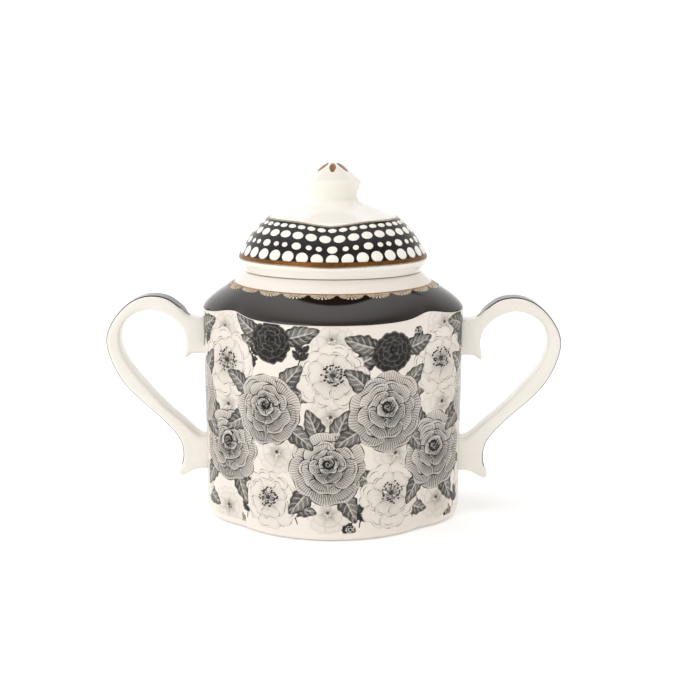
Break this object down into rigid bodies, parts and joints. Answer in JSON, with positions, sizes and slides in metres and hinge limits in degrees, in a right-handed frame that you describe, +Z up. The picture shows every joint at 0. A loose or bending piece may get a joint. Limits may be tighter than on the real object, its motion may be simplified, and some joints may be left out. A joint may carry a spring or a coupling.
{
  "type": "sugar bowl",
  "caption": "Covered porcelain sugar bowl with a lobed oval body, ear handles, a lift-off domed lid with a knob, and black, white and gold decoration.",
  "frame": {"origin": "centre of the foot, on the surface that the bowl stands on", "axes": "+X from the left handle to the right handle, +Y from the front to the back, +Z up out of the mouth"},
  "size_m": [0.1656, 0.0816, 0.1297],
  "materials": {
    "bowl_glaze": "glossy white glaze over printed decoration",
    "handle_glaze": "glossy white glaze with a black outer face",
    "lid_glaze": "glossy white glaze with a dotted black band",
    "knob_glaze": "glossy white glaze with painted petals",
    "black_glaze": "glossy black glaze",
    "printed_transfer": "black flower print under a glossy glaze",
    "white_enamel": "raised glossy white dots",
    "gold_lustre": "fired brown-gold lustre, bright"
  },
  "bodies": {
    "bowl": {"bowl_body": "bowl_glaze", "handle_left": "handle_glaze", "handle_right": "handle_glaze"},
    "lid": {"lid_shell": "lid_glaze", "lid_knob": "knob_glaze"}
  },
  "joints": [
    {"name": "lid_lift", "type": "slide", "parent": "bowl", "child": "lid", "axis": [0, 0, 1], "range_m": [0, 0.08]}
  ]
}
